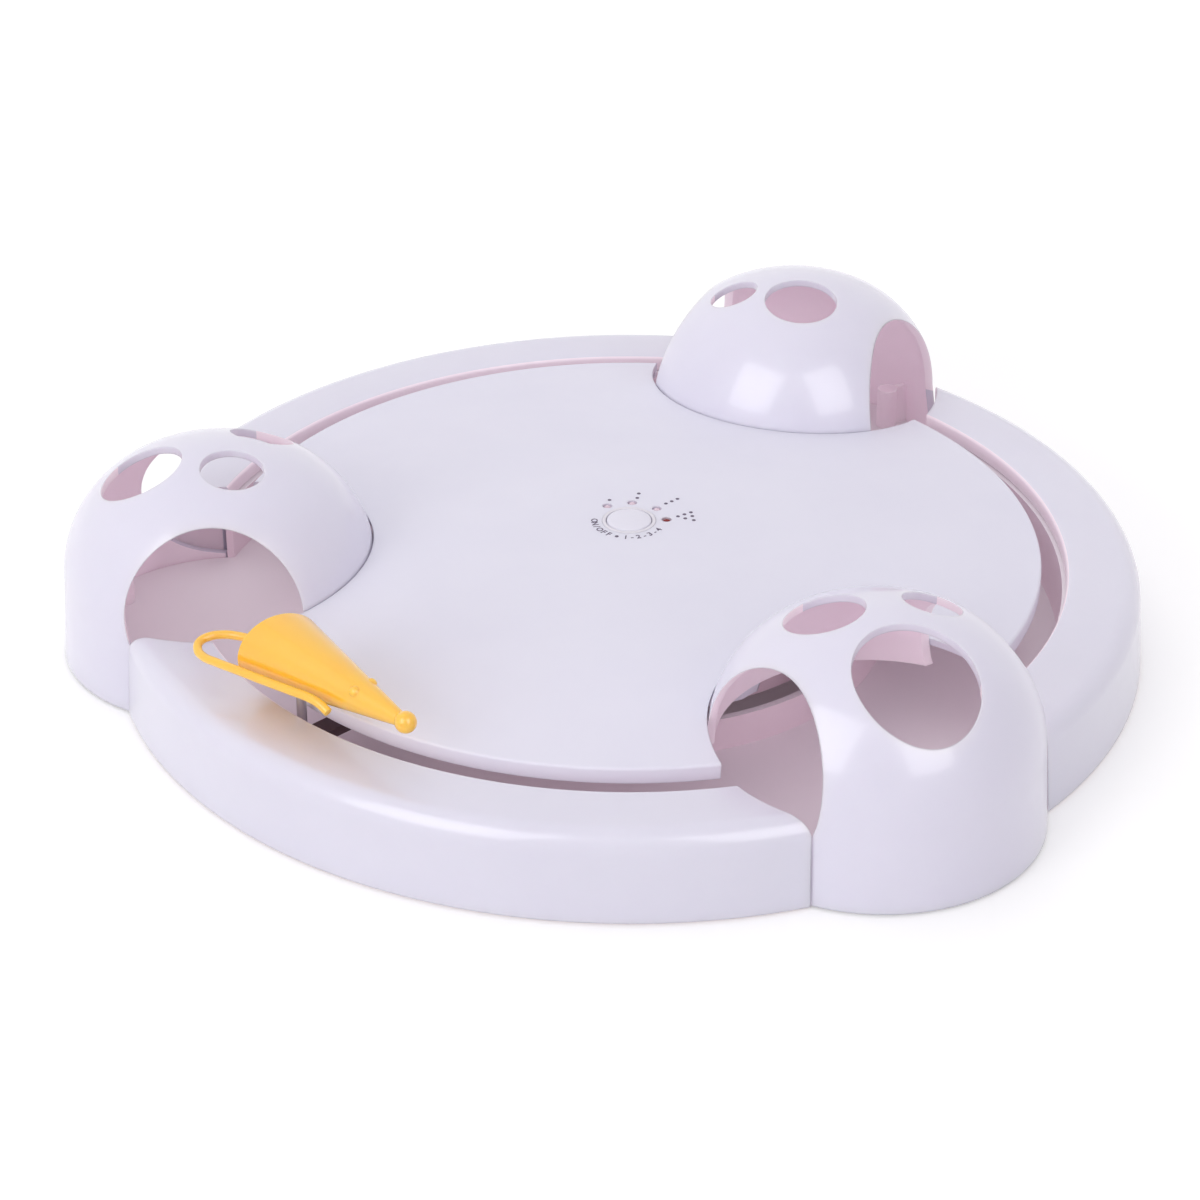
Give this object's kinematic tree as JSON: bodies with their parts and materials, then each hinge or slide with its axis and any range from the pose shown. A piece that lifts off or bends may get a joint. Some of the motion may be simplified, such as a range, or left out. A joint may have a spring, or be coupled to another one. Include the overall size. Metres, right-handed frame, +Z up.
{
  "type": "cat toy",
  "caption": "Round floor toy for cats: a mouse on a post runs round a ring track, through domes with paw holes, driven by a motor under a crowned deck with a timer button.",
  "frame": {"origin": "turning axis of the mouse's arm, at the surface the toy stands on", "axes": "+Z up along the turning axis; -Y faces the viewer of the picture, +X to the viewer's right"},
  "size_m": [0.3471, 0.3331, 0.0693],
  "materials": {
    "shell_plastic": "satin moulded",
    "mouse_plastic": "smooth moulded",
    "dark_plastic": "matt moulded",
    "nylon": "matt moulded",
    "steel": "plain",
    "brass": "turned",
    "rubber": "matt",
    "cell_wrap": "printed sleeve, plain",
    "board": "lacquered",
    "clear_lens": "clear moulded",
    "lit_lens": "clear red moulded",
    "soft_ring": "soft moulded"
  },
  "bodies": {
    "base": {"base_tray": "shell_plastic", "rim_back": "shell_plastic", "rim_front": "shell_plastic", "rim_right": "shell_plastic", "dome_back": "shell_plastic", "dome_left": "shell_plastic", "dome_front": "shell_plastic", "deck_cover": "shell_plastic", "battery_door": "shell_plastic", "tact_switch": "dark_plastic", "deck_hub": "nylon", "centre_post": "nylon", "post_screw": "steel", "retaining_ring": "steel", "drive_motor": "steel", "gear_pins": "steel", "contact_plates": "steel", "contact_leaves": "steel", "door_screws": "steel", "shell_screws": "steel", "board_screws": "steel", "hub_screws": "steel", "thrust_washer": "brass", "rubber_feet": "rubber", "batteries": "cell_wrap", "circuit_board": "board", "clear_leds": "clear_lens", "lit_led": "lit_lens", "button_bezel": "soft_ring"},
    "rotor": {"rotor_plate": "nylon", "carrier_arm": "dark_plastic", "arm_screws": "steel", "mouse_post": "steel", "mouse_body": "mouse_plastic", "mouse_tail": "mouse_plastic"},
    "first_gear": {"first_gear": "nylon"},
    "second_gear": {"second_gear": "nylon"},
    "motor_rotor": {"motor_shaft": "steel", "motor_pinion": "brass"},
    "button": {"button_cap": "shell_plastic", "switch_plunger": "dark_plastic"}
  },
  "joints": [
    {"name": "mouse_orbit", "type": "hinge", "parent": "base", "child": "rotor", "pos_m": [0, 0, 0], "axis": [0, 0, 1], "continuous": true},
    {"name": "second_gear_spin", "type": "hinge", "parent": "base", "child": "second_gear", "pos_m": [0.036, 0, 0], "axis": [0, 0, 1], "continuous": true},
    {"name": "first_gear_spin", "type": "hinge", "parent": "base", "child": "first_gear", "pos_m": [0.04455, 0.02349, 0], "axis": [0, 0, 1], "continuous": true},
    {"name": "motor_spin", "type": "hinge", "parent": "base", "child": "motor_rotor", "pos_m": [0.03668, 0.04511, 0], "axis": [0, 0, 1], "continuous": true},
    {"name": "button_press", "type": "slide", "parent": "base", "child": "button", "axis": [0, 0, -1], "range_m": [0, 0.0005], "stiffness_N_per_m": 1500, "springref_m": -0.0002}
  ],
  "couplings": [
    {"joint": "second_gear_spin", "follows": "mouse_orbit", "ratio": -5},
    {"joint": "first_gear_spin", "follows": "mouse_orbit", "ratio": 20},
    {"joint": "motor_spin", "follows": "mouse_orbit", "ratio": -72}
  ]
}
